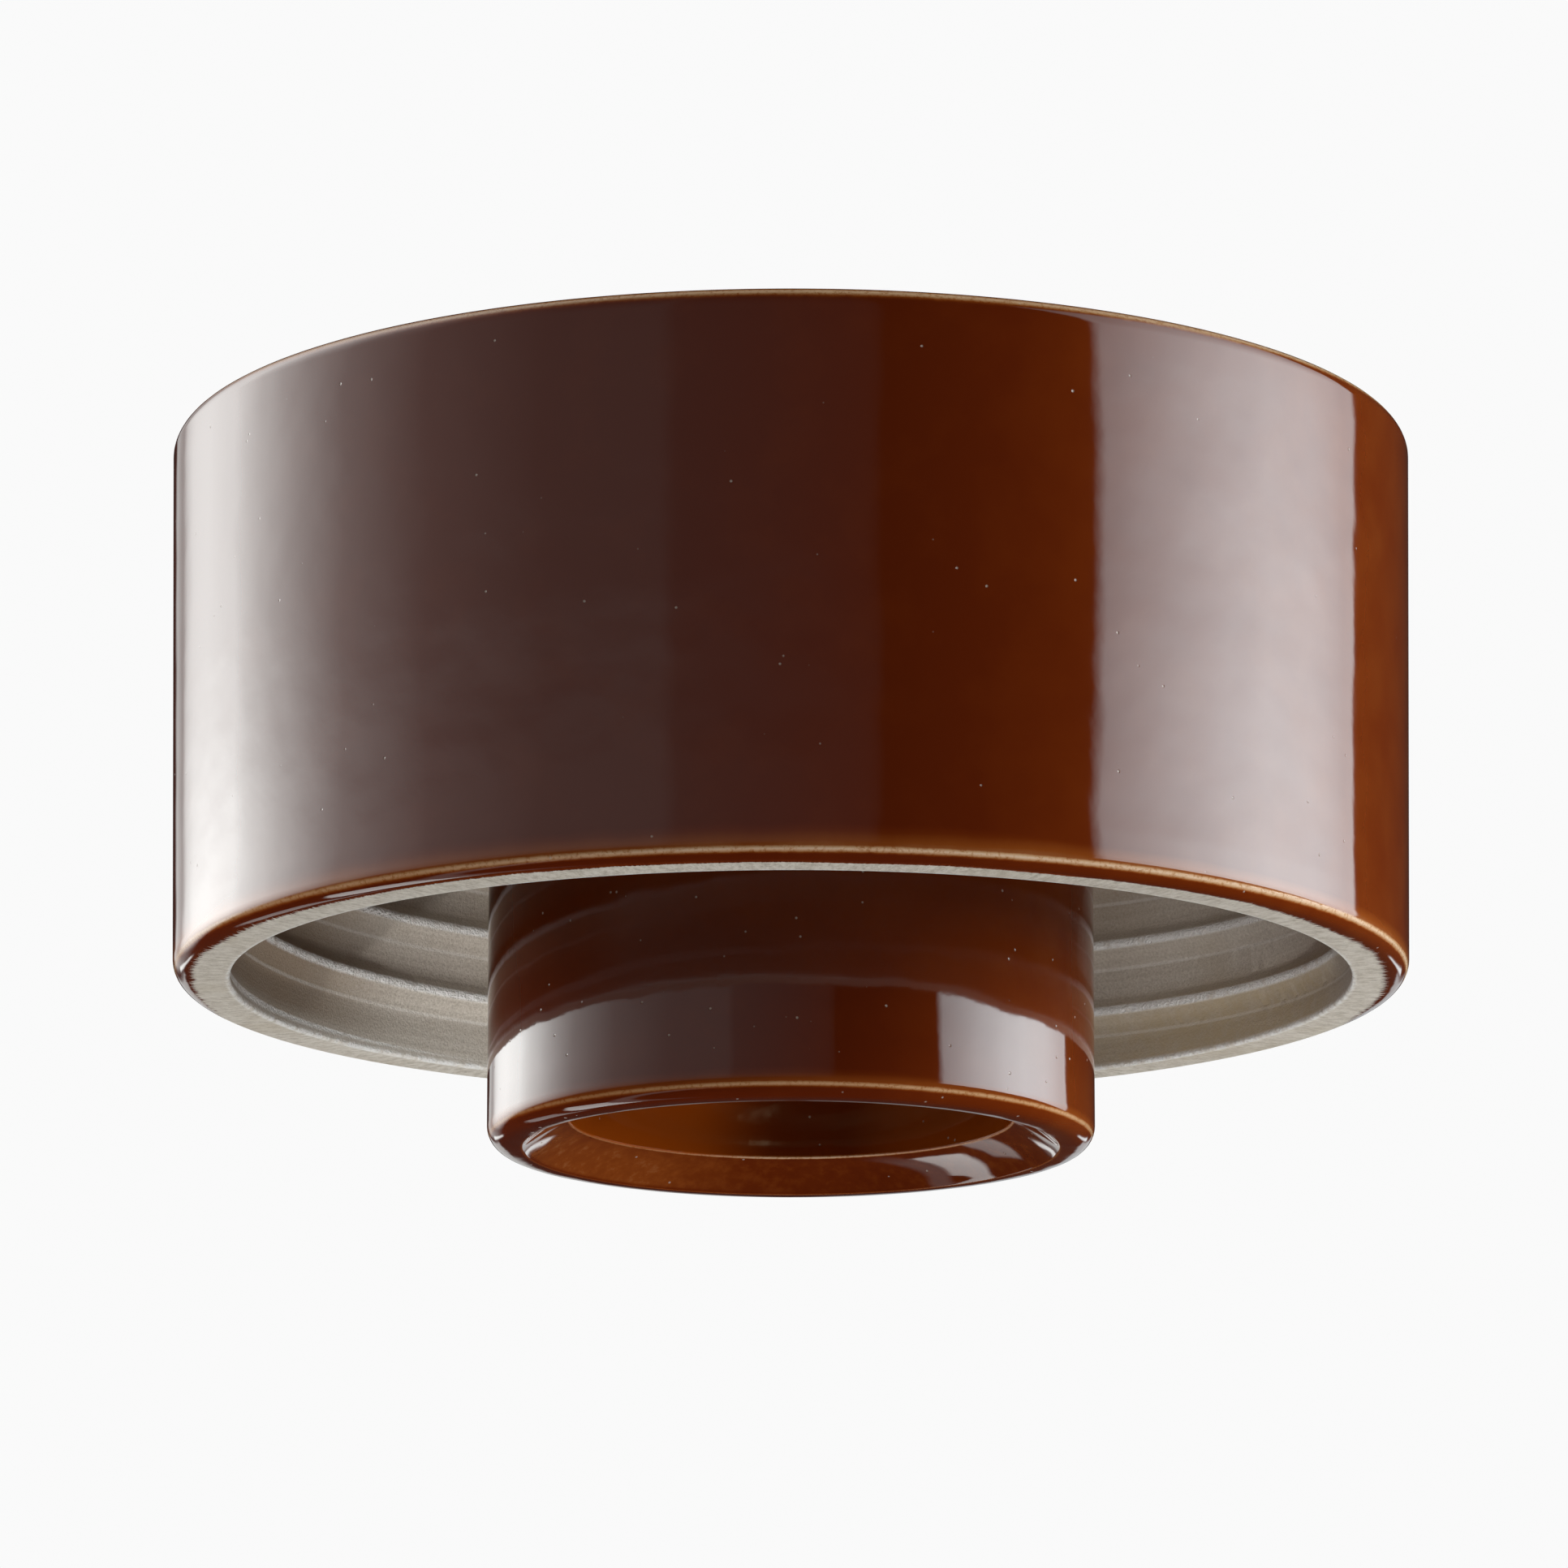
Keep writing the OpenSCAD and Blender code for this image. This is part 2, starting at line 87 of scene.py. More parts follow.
class Tree:
    """A node tree with short ways to add nodes and join them."""

    def __init__(self, owner):
        owner.use_nodes = True
        self.tree = owner.node_tree
        self.tree.nodes.clear()

    def add(self, kind, inputs=None, **settings):
        node = self.tree.nodes.new("ShaderNode" + kind)
        for name, value in settings.items():
            setattr(node, name, value)
        for key, value in (inputs or {}).items():
            self.put(node.inputs[key], value)
        return node

    def put(self, socket, value):
        if isinstance(value, bpy.types.NodeSocket):
            self.tree.links.new(value, socket)
        else:
            socket.default_value = value

    def math(self, operation, a, b=0.0, c=0.0, clamp=False):
        return self.add("Math", {0: a, 1: b, 2: c}, operation=operation, use_clamp=clamp).outputs[0]

    def step(self, value, low, high, start=0.0, end=1.0):
        """Goes smoothly from start to end while value goes from low to high."""
        inputs = {"Value": value, "From Min": low, "From Max": high, "To Min": start, "To Max": end}
        return self.add("MapRange", inputs, interpolation_type="SMOOTHSTEP").outputs[0]

    def noise(self, vector, scale, detail=2.0, roughness=0.5, distortion=0.0):
        inputs = {"Vector": vector, "Scale": scale, "Detail": detail, "Roughness": roughness,
                  "Distortion": distortion}
        return self.add("TexNoise", inputs).outputs[0]

    def mix(self, share, a, b):
        return self.add("Mix", {0: share, 6: a, 7: b}, data_type="RGBA").outputs[2]

    def blend(self, share, a, b):
        return self.add("Mix", {0: share, 2: a, 3: b}, data_type="FLOAT").outputs[0]

    def vector(self, x, y, z):
        return self.add("CombineXYZ", {0: x, 1: y, 2: z}).outputs[0]

    def ramp(self, value, stops, interpolation="LINEAR"):
        node = self.add("ValToRGB", {0: value})
        node.color_ramp.interpolation = interpolation
        elements = node.color_ramp.elements
        while len(elements) < len(stops):
            elements.new(0.5)
        for element, (place, colour) in zip(elements, stops):
            element.position = place
            element.color = (*colour, 1.0)
        return node.outputs[0]

    def place(self):
        """The surface point in millimetres, with its x, y, z, distance from the axis and azimuth."""
        point = self.add("TexCoord").outputs["Object"]
        point = self.add("VectorMath", {0: point, "Scale": 1000.0}, operation="SCALE").outputs[0]
        x, y, z = self.add("SeparateXYZ", {0: point}).outputs[:3]
        radius = self.math("SQRT", self.math("MULTIPLY_ADD", x, x, self.math("MULTIPLY", y, y)))
        return point, x, y, z, radius, self.math("ARCTAN2", y, x)

    def surface(self, height=None, **inputs):
        """The principled shader, with a bump whose height is in millimetres."""
        values = {name.replace("_", " ").title().replace("Ior", "IOR"): v for name, v in inputs.items()}
        shader = self.add("BsdfPrincipled", values)
        if height is not None:
            bump = self.add("Bump", {"Strength": 1.0, "Distance": MM, "Height": height})
            self.put(shader.inputs["Normal"], bump.outputs[0])
        output = self.add("OutputMaterial")
        self.tree.links.new(shader.outputs[0], output.inputs["Surface"])
        return shader


def material(name):
    made = bpy.data.materials.new(name)
    return made, Tree(made)


def give(obj, made):
    obj.data.materials.clear()
    obj.data.materials.append(made)


# ---- the fired body ----


def rounded(corners, steps=10):
    """A closed outline with each corner (r, z, radius) rounded."""
    out = []
    for i, (r, z, radius) in enumerate(corners):
        here = np.array([r, z])
        if radius == 0:
            out.append(here)
            continue
        to_last = np.array(corners[i - 1][:2]) - here
        to_next = np.array(corners[(i + 1) % len(corners)][:2]) - here
        to_last, to_next = to_last / np.linalg.norm(to_last), to_next / np.linalg.norm(to_next)
        half = math.acos(float(np.clip(to_last @ to_next, -1, 1))) / 2
        centre = here + (to_last + to_next) / np.linalg.norm(to_last + to_next) * radius / math.sin(half)
        first = here + to_last * radius / math.tan(half) - centre
        last = here + to_next * radius / math.tan(half) - centre
        turn = math.pi - 2 * half
        count = max(2, 2 * round(steps * turn / math.pi))
        for k in range(count + 1):
            t = k / count
            arm = (math.sin((1 - t) * turn) * first + math.sin(t * turn) * last) / math.sin(turn)
            out.append(centre + arm)
    return out


def split_long(points, longest):
    """The same closed outline with its long sides cut into shorter ones."""
    out = []
    for a, b in zip(points, points[1:] + points[:1]):
        parts = max(1, math.ceil(np.linalg.norm(b - a) / longest))
        out += [a + (b - a) * k / parts for k in range(parts)]
    return out


def body_outline():
    """Half the body's section, from the upper rim down the outside and back up the inside."""
    straight = 1 - COVE_HOLLOW
    cove = [(BORE_R + (DISH_R - BORE_R) * (straight * (1 - a / 90) + COVE_HOLLOW * math.cos(math.radians(a))),
             COLLAR_Z + DISH_DEPTH * (straight * a / 90 + COVE_HOLLOW * math.sin(math.radians(a))), 0)
            for a in np.arange(9, 88, 6.5)]
    corners = [
        (CAVITY_R, 0, 0.3), (GROOVE_IN_R, 0, 0), (GROOVE_IN_R, -GROOVE_DEPTH, 0),
        (GROOVE_OUT_R, -GROOVE_DEPTH, 0), (GROOVE_OUT_R, 0, 0),
        (SKIRT_TOP_R, 0, TOP_ROUND), (SKIRT_R, MOUTH_Z, LOW_ROUND),
        (MOUTH_R + 0.02, MOUTH_Z, 0.25), (ROOT_R, MOUTH_Z + 3.5, 0),
        (ROOT_R, WEB_LOW, 2), (COLLAR_R, WEB_LOW, 1.5), (COLLAR_R, COLLAR_Z, COLLAR_ROUND),
        (DISH_R + 0.02, COLLAR_Z, 0.22), *cove,
        (BORE_R, COLLAR_Z + DISH_DEPTH, 0.12),
        (BORE_R, SHELL_RIM_Z, 0), (SHELL_RIM_R, SHELL_RIM_Z, 0), (SHELL_RIM_R, SHELL_MOUTH_Z, 0),
        (SHELL_POCKET_R, SHELL_MOUTH_Z, 0), (SHELL_POCKET_R, FLOOR_LOW, 0),
        (CONTACT_BOSS_R, FLOOR_LOW, 0), (CONTACT_BOSS_R, FLOOR_LOW - CONTACT_BOSS_HEIGHT, 0.2),
        (CONTACT_SEAT_R, FLOOR_LOW - CONTACT_BOSS_HEIGHT, 0.2), (CONTACT_SEAT_R, FLOOR_LOW, 0),
        (CONTACT_HOLE_R, FLOOR_LOW, 0), (CONTACT_HOLE_R, WEB_LOW, 0),
        (BACK_POCKET_R, WEB_LOW, 1.5), (BACK_POCKET_R, WEB_TOP, 0.4), (CAVITY_R, WEB_TOP, 2),
    ]
    return split_long(rounded(corners), 2.2)


def mesh_object(name, points, faces):
    """A mesh object from points in millimetres, with its faces turned outwards."""
    mesh = bpy.data.meshes.new(name)
    mesh.from_pydata([tuple(c * MM for c in p) for p in points], [], faces)
    work = bmesh.new()
    work.from_mesh(mesh)
    bmesh.ops.recalc_face_normals(work, faces=work.faces)
    work.to_mesh(mesh)
    work.free()
    obj = bpy.data.objects.new(name, mesh)
    bpy.context.scene.collection.objects.link(obj)
    return obj


def lathe(name, outline, steps):
    points = [(r * math.cos(a), r * math.sin(a), z)
              for a in np.arange(steps) * 2 * math.pi / steps for r, z in outline]
    n = len(outline)
    faces = [(i * n + k, i * n + (k + 1) % n, (i + 1) % steps * n + (k + 1) % n, (i + 1) % steps * n + k)
             for i in range(steps) for k in range(n)]
    return mesh_object(name, points, faces)


def wobble(x, seed):
    """A smooth wave between -1 and 1 that doesn't repeat soon."""
    return (math.sin(x * 1.0 + seed) + math.sin(x * 2.17 + seed * 3.1) + math.sin(x * 4.61 + seed * 1.7)) / 3


def crest_height(azimuth):
    return MOUTH_Z + RIDGE_BACK_Z + PITCH * (azimuth - 90) / 360


def tube_faces(count, n):
    """The faces of a tube of count sections with n points each, with its two ends."""
    faces = [(i * n + k, (i + 1) * n + k, (i + 1) * n + (k + 1) % n, i * n + (k + 1) % n)
             for i in range(count - 1) for k in range(n)]
    return faces + [tuple(range(n)), tuple(reversed(range((count - 1) * n, count * n)))]


def thread_ridge():
    """The glass thread: a long flank towards the mouth, a worn uneven crest, and a short hollow back."""
    points, bury, flank = [], 0.6, 1.75
    azimuths = np.arange(RIDGE_START, RIDGE_END + 0.1, 0.75)
    for azimuth in azimuths:
        grow = min(1, (azimuth - RIDGE_START) / RIDGE_FADE, (RIDGE_END - azimuth) / RIDGE_FADE)
        crumb = 0.06 * wobble(azimuth * 0.9, 1) + 0.05 * wobble(azimuth * 1.9, 2)
        tip = ROOT_R + 0.1 - (ROOT_R + 0.1 - CREST_R - crumb) * max(0, grow)
        slope = flank / (ROOT_R - CREST_R)
        low = 0.15 + (ROOT_R + bury - tip) * slope
        lift = crest_height(azimuth) + 0.05 * wobble(azimuth * 1.3, 5)
        a = math.radians(azimuth)
        near = tip + 0.35 * (ROOT_R - CREST_R) / flank
        section = [(ROOT_R + bury, -low), (near, -0.5), (tip, -0.12), (tip + 0.02, 0.12),
                   (tip + 0.25 * (ROOT_R - tip), 0.42), (tip + 0.7 * (ROOT_R - tip), 0.85),
                   (ROOT_R + 0.02, 1.3), (ROOT_R + bury, 1.5)]
        points += [(r * math.cos(a), r * math.sin(a), lift + z) for r, z in section]
    return mesh_object("thread_ridge", points, tube_faces(len(azimuths), len(section)))


def pins(name, places, steps=64):
    """Upright cylinders, one for each (distance, azimuth, radius, low, high)."""
    points, faces = [], []
    for distance, azimuth, radius, low, high in places:
        a = math.radians(azimuth)
        first = len(points)
        for z in (low, high):
            for k in range(steps):
                b = 2 * math.pi * k / steps
                points.append((distance * math.cos(a) + radius * math.cos(b),
                               distance * math.sin(a) + radius * math.sin(b), z))
        faces += [(first + k, first + (k + 1) % steps, first + steps + (k + 1) % steps, first + steps + k)
                  for k in range(steps)]
        faces += [tuple(range(first, first + steps)), tuple(range(first + steps, first + 2 * steps))]
    return mesh_object(name, points, faces)


def cut(body, tool, operation):
    """Joins the tool to the body or takes it away, and removes the tool."""
    made = body.modifiers.new(operation, "BOOLEAN")
    made.operation = operation
    made.object = tool
    made.solver = "MANIFOLD"
    result = bpy.data.meshes.new_from_object(body.evaluated_get(bpy.context.evaluated_depsgraph_get()))
    body.modifiers.clear()
    body.data = result
    bpy.data.objects.remove(tool)


def at_places(kind, radius, low, high):
    """Pins between two heights, one at each place of a kind of hole."""
    distance, azimuths = HOLE_PLACES[kind]
    return [(distance, azimuth, radius, low, high) for azimuth in azimuths]


def fired_body():
    body = lathe("fired_body", body_outline(), TURN_STEPS)
    cut(body, thread_ridge(), "UNION")
    bosses = (at_places("mount", MOUNT_BOSS_R, WEB_TOP - 1, 0)
              + at_places("rivet", RIVET_BOSS_R, WEB_TOP - 1, PLATE_LOW))
    cut(body, pins("bosses", bosses, 96), "UNION")
    holes = []
    for kind, low, high in (("mount", WEB_LOW - 1, 1), ("grommet", WEB_LOW - 1, WEB_TOP + 1),
                            ("block", WEB_LOW - 1, WEB_TOP + 1), ("shell", FLOOR_LOW - 1, WEB_LOW + 1),
                            ("rivet", PLATE_LOW - 4, 0)):
        holes += at_places(kind, HOLE_RADIUS[kind], low, high)
    cut(body, pins("holes", holes), "DIFFERENCE")
    recesses = at_places("mount", HOLE_RADIUS["recess"], WEB_LOW - 1, WEB_LOW + 2)
    cut(body, pins("recesses", recesses), "DIFFERENCE")
    body.data.shade_smooth()
    body.data.set_sharp_from_angle(angle=SHARP_ANGLE)
    body.name = body.data.name = "fired_body"
    return body


def wound_spring(low, high):
    """The contact's spring between two heights in millimetres, wound more finely than its CAD solid."""
    wire, coil, turns, sides = 0.25, 1.75, 5, 12
    angles = np.arange(0, 360 * turns + 1, 10)
    points = []
    for angle in angles:
        a = math.radians(angle)
        z = low + wire + (high - low - 2 * wire) * angle / (360 * turns)
        for k in range(sides):
            b = 2 * math.pi * k / sides
            r = coil + wire * math.cos(b)
            points.append((r * math.cos(a), r * math.sin(a), z + wire * math.sin(b)))
    spring = mesh_object("wound_spring", points, tube_faces(len(angles), sides))
    spring.data.shade_smooth()
    spring.data.set_sharp_from_angle(angle=SHARP_ANGLE)
    return spring


# ---- materials ----


def circle_line(t, radius, z, at_r, at_z, wide, core=0.0):
    """1 within core millimetres of a circle round the axis, falling to 0 at wide millimetres from it."""
    dr = t.math("SUBTRACT", radius, at_r)
    dz = t.math("SUBTRACT", z, at_z)
    away = t.math("SQRT", t.math("MULTIPLY_ADD", dr, dr, t.math("MULTIPLY", dz, dz)))
    return t.step(away, core, wide, 1.0, 0.0)


def glazed_porcelain():
    made, t = material("glazed_porcelain")
    point, x, y, z, radius, azimuth = t.place()
    # A point on a circle of 45 mm, so that a pattern on it runs straight in and out
    spoke = t.vector(t.math("DIVIDE", t.math("MULTIPLY", x, 45.0), radius),
                     t.math("DIVIDE", t.math("MULTIPLY", y, 45.0), radius), 0.0)
    mottle = t.noise(point, 0.22, 4.0, 0.55)
    grain = t.noise(point, 5.0, 5.0, 0.65)
    wander = t.noise(spoke, 0.11, 3.0, 0.6)
    comb = t.noise(spoke, 4.2, 2.0, 0.7)
    crumble = t.noise(point, 3.4, 3.0, 0.7)
    ragged = t.noise(point, 1.1, 4.0, 0.6)

    # Where the glaze lies: outside the skirt, and on the collar, its dish and the bore
    comb_reach = t.step(y, -36.0, -22.0, 0.5, 2.0)
    edge = t.math("ADD", t.step(y, 4.0, 22.0, 43.35, 44.5), t.step(y, -36.0, -22.0, 0.95, 0.0))
    edge = t.math("ADD", edge, t.step(x, -25.0, 25.0, 0.1, -0.2))
    edge = t.math("MULTIPLY_ADD", wander, 1.1, t.math("MULTIPLY_ADD", comb, comb_reach, edge))
    # It never climbs past the rounded edge, on to the skirt's wall
    edge = t.math("SMOOTH_MIN", edge, 45.9, 0.5)
    outer = t.math("SUBTRACT", radius, edge)
    below_web = t.math("SUBTRACT", WEB_LOW - 0.6, t.math("ADD", z, t.math("MULTIPLY", ragged, 0.8)))
    out_of_shell = t.math("MAXIMUM", t.math("SUBTRACT", radius, 16.2), t.math("SUBTRACT", SHELL_RIM_Z, z))
    inner = t.math("MINIMUM", t.math("SUBTRACT", 24.6, radius), t.math("MINIMUM", below_web, out_of_shell))
    inside = t.math("MAXIMUM", outer, inner)
    glaze = t.step(inside, -0.07, 0.07)

    # Where it is thin: along the edges, and next to bare clay
    wear = t.math("MULTIPLY_ADD", ragged, 0.5, 0.75)
    lines = None
    # The line at the dish's near edge is partly thin glaze, partly a painted highlight
    for at_r, at_z, wide, strength in (
            (SKIRT_R - 0.164, MOUTH_Z + 0.743, 0.36, 0.9), (SKIRT_TOP_R - 0.41, -0.41, 0.55, 0.8),
            (COLLAR_R - 0.19, COLLAR_Z + 0.875, 0.3, 0.7), (DISH_R + 0.08, COLLAR_Z + 0.06, 0.15, 0.5),
            (BORE_R + 0.06, COLLAR_Z + DISH_DEPTH - 0.06, 0.22, 0.95)):
        core = circle_line(t, radius, z, at_r, at_z, t.math("MULTIPLY", wear, wide * 1.3))
        core = t.math("MULTIPLY", core, t.step(crumble, 0.3, 0.52, 0.72 * strength, strength))
        core = t.math("MULTIPLY", core, t.step(t.math("DIVIDE", x, radius), -0.85, -0.1, 0.72, 1.0))
        lines = core if lines is None else t.math("MAXIMUM", lines, core)
    for low_z, high_z, out_r, strength in ((MOUTH_Z + 0.8, MOUTH_Z + 2.7, 45.0, 0.36),
                                           (COLLAR_Z + 0.9, COLLAR_Z + 2.2, 22.0, 0.3)):
        rise = t.step(z, low_z, high_z, strength, 0.0)
        on_wall = t.math("MULTIPLY", t.step(z, low_z - 0.15, low_z + 0.05),
                         t.step(radius, out_r, out_r + 0.4))
        if out_r < COLLAR_R:
            on_wall = t.math("MULTIPLY", on_wall, t.step(radius, 23.0, 24.0, 1.0, 0.0))
        lines = t.math("MAXIMUM", lines, t.math("MULTIPLY", rise, on_wall))
    rim_thin = t.math("MULTIPLY", t.step(outer, 0.0, 0.6, 0.22, 0.0),
                      t.math("MULTIPLY", t.step(z, MOUTH_Z + 1.8, MOUTH_Z + 0.8), t.step(radius, 43.0, 44.0)))
    thin = t.math("MAXIMUM", lines, rim_thin)
    # The glaze is lighter and oranger towards +X and thinner in the dish. Painted light: the dish is painted
    # lighter towards -X, and the collar's upper part, in the skirt's shade, is painted lighter
    to_right = t.math("DIVIDE", t.math("MULTIPLY", x, SKIRT_R), radius)
    thinning_and_painted_light = t.math("ADD", t.step(to_right, 10.0, 26.0, 0.0, 0.1), t.step(to_right, 26.0, 42.0, 0.0, 0.05))
    in_dish = t.math("MULTIPLY", t.step(radius, 19.8, 20.2, 1.0, 0.0),
                     t.step(z, COLLAR_Z + 3.5, COLLAR_Z + 1.5))
    # Partly thinner glaze in the dish, partly painted light: the dish is painted lighter towards -X
    thinning_and_painted_light = t.math("MAXIMUM", thinning_and_painted_light, t.math("MULTIPLY", in_dish, t.step(to_right, -30.0, 0.0, 0.3, 0.1)))
    # Painted light: the collar's upper part, shaded by the skirt, is painted lighter
    thinning_and_painted_light = t.math("MAXIMUM", thinning_and_painted_light, t.math("MULTIPLY", t.step(radius, 22.5, 23.5, 1.0, 0.0),
                                          t.step(z, MOUTH_Z - 3.0, MOUTH_Z + 5.0, 0.0, 0.16)))
    thinning_and_painted_light = t.math("ADD", thinning_and_painted_light, t.math("MULTIPLY", in_dish, t.step(ragged, 0.35, 0.75, -0.04, 0.08)))
    thin = t.math("MAXIMUM", thin, thinning_and_painted_light)
    thin = t.math("MULTIPLY_ADD", t.math("SUBTRACT", mottle, 0.5), 0.16, thin, clamp=True)
    colour = t.ramp(thin, [
        (0.0, (0.112, 0.0132, 0.0010)), (0.12, (0.145, 0.0205, 0.0016)), (0.32, (0.24, 0.052, 0.007)),
        (0.55, (0.42, 0.19, 0.075)), (0.8, (0.64, 0.38, 0.22)), (1.0, (0.77, 0.58, 0.42))])
    # Painted light in the bore: its walls go bright orange away from the middle, where the glaze stays dark
    off_middle = t.math("ABSOLUTE", t.math("SUBTRACT", to_right, 4.0))
    bore_painted_light = t.math("MULTIPLY", t.step(radius, 16.62, 16.8, 1.0, 0.0), t.step(off_middle, 6.0, 26.0, 0.1, 0.85))
    colour = t.mix(bore_painted_light, colour, (0.40, 0.075, 0.004, 1.0))

    # Pinholes: pale dots the size of a pen point, more of them on the collar than on the skirt
    cells = t.add("TexVoronoi", {"Vector": point, "Scale": 0.8, "Randomness": 1.0})
    size = t.add("TexWhiteNoise", {"Vector": cells.outputs["Position"]}, noise_dimensions="3D")
    away = t.math("DIVIDE", cells.outputs["Distance"], 0.8)
    dot = t.math("MULTIPLY", t.step(away, 0.05, 0.13, 1.0, 0.0),
                 t.math("GREATER_THAN", size.outputs["Value"], t.step(radius, 23.0, 25.0, 0.55, 0.88)))
    colour = t.mix(t.math("MULTIPLY", dot, 0.55), colour, (0.6, 0.5, 0.42, 1.0))

    # Bare clay: mottled grey-beige, with turning marks inside and strokes across the mouth's face
    turning = t.noise(t.vector(t.math("MULTIPLY", azimuth, 2.2), t.math("MULTIPLY", radius, 2.2),
                               t.math("MULTIPLY", z, 2.2)), 1.0, 4.0, 0.6)
    stroke = t.noise(t.vector(t.math("MULTIPLY", azimuth, 110.0), t.math("MULTIPLY", radius, 0.9), z),
                     1.0, 3.0, 0.7)
    on_mouth = t.step(z, MOUTH_Z + 0.6, MOUTH_Z + 0.2)
    brushed = t.math("MULTIPLY_ADD", t.blend(0.72, grain, stroke), 1.5, -0.2)
    tone = t.blend(on_mouth, t.blend(0.28, grain, turning), brushed)
    clay = t.ramp(tone, [(0.34, (0.46, 0.405, 0.335)), (0.5, (0.60, 0.54, 0.462)),
                         (0.66, (0.72, 0.665, 0.585))])
    stain = t.step(t.noise(point, 0.09, 3.0, 0.6), 0.52, 0.72, 0.0, 0.4)
    clay = t.mix(stain, clay, (0.50, 0.42, 0.31, 1.0))
    # A warm stain on the land by the mouth, on the side towards +X
    damp = t.math("MULTIPLY", t.step(x, 14.0, 30.0), t.step(z, MOUTH_Z + 6.5, MOUTH_Z + 3.0))
    damp = t.math("MULTIPLY", damp,
                  t.math("MULTIPLY", t.step(y, 2.0, 14.0), t.step(ragged, 0.3, 0.62, 0.55, 0.9)))
    inside_wall = t.step(radius, 42.9, 43.1, 1.0, 0.0)
    damp = t.math("MULTIPLY", t.math("MULTIPLY", damp, inside_wall), t.step(z, MOUTH_Z + 0.1, MOUTH_Z + 0.6))
    clay = t.mix(damp, clay, (0.52, 0.41, 0.26, 1.0))
    # Painted shade: the clay darker deeper in, and at the end towards -X
    painted_shade = t.math("MULTIPLY", t.step(z, -38.0, -25.0, 0.0, 0.68), t.step(x, -12.0, 18.0, 0.3, 1.0))
    painted_shade = t.math("MULTIPLY", painted_shade, t.step(x, 25.0, 34.0, 1.0, 0.15))
    painted_shade = t.math("MAXIMUM", painted_shade, t.step(t.math("ADD", x, radius), 13.0, 3.0, 0.0, 0.85))
    painted_shade = t.math("MULTIPLY", t.math("MULTIPLY", painted_shade, inside_wall), t.step(z, MOUTH_Z + 0.2, MOUTH_Z + 2.4))
    clay = t.mix(painted_shade, clay, (0.30, 0.22, 0.15, 1.0))
    # Height above the thread's crest, which climbs one pitch in each turn
    turn = t.math("SUBTRACT", t.math("DIVIDE", azimuth, 2 * math.pi), 0.25)
    climb = t.math("SUBTRACT", t.math("DIVIDE", t.math("SUBTRACT", z, MOUTH_Z + RIDGE_BACK_Z), PITCH), turn)
    above = t.math("MULTIPLY", t.math("FRACT", climb), PITCH)
    in_thread = t.math("MULTIPLY", t.step(z, -24.0, -25.0),
                       t.math("MULTIPLY", t.step(radius, 40.0, 41.0), t.step(z, MOUTH_Z + 0.5, MOUTH_Z + 0.9)))
    # Pale crests: partly worn clay, partly a painted highlight; the pale line at the foot of each flank, where
    # the slope changes, is a painted highlight
    near_crest = t.math("MAXIMUM", t.step(above, PITCH - 0.55, PITCH - 0.3), t.step(above, 0.15, 0.35, 1.0, 0.0))
    flank_foot_highlight = t.step(t.math("ABSOLUTE", t.math("SUBTRACT", above, PITCH - 1.95)), 0.05, 0.2, 0.3, 0.0)
    crest_wear_and_highlight = t.math("MULTIPLY", in_thread, t.math("MAXIMUM", near_crest, flank_foot_highlight))
    crest_wear_and_highlight = t.math("MULTIPLY", crest_wear_and_highlight, t.step(ragged, 0.3, 0.5, 0.55, 1.0))
    # Pale lip: partly worn clay, partly a painted highlight
    lip = t.math("MULTIPLY", circle_line(t, radius, z, MOUTH_R + 0.05, MOUTH_Z + 0.05, 0.5, 0.125),
                 t.step(ragged, 0.35, 0.6, 0.2, 1.0))
    clay = t.mix(t.math("MAXIMUM", crest_wear_and_highlight, lip), clay, (0.92, 0.90, 0.86, 1.0))

    # Heights in millimetres: slow waves in the glaze, grain in the clay, and the step between them
    waves = t.math("ADD", t.math("MULTIPLY", t.noise(point, 0.1, 2.0, 0.45), 0.09),
                   t.math("MULTIPLY", t.noise(point, 0.8, 2.0, 0.5), 0.003))
    crumbs = t.math("MULTIPLY", t.math("MAXIMUM", crest_wear_and_highlight, lip), t.math("MULTIPLY_ADD", crumble, 0.34, -0.17))
    rough_clay = t.math("ADD", t.math("MULTIPLY", tone, 0.1), crumbs)
    frost = t.math("MULTIPLY", t.step(thin, 0.55, 0.95), t.math("MULTIPLY", grain, 0.03))
    height = t.blend(glaze, rough_clay, t.math("ADD", t.math("ADD", waves, 0.1), frost))
    height = t.math("SUBTRACT", height, t.math("MULTIPLY", dot, t.math("MULTIPLY", glaze, 0.02)))
    gloss = t.math("MULTIPLY_ADD", t.step(thin, 0.6, 1.0), 0.22, 0.045)
    t.surface(base_color=t.mix(glaze, clay, colour), roughness=t.blend(glaze, 0.88, gloss), ior=1.5,
              height=height)
    return made


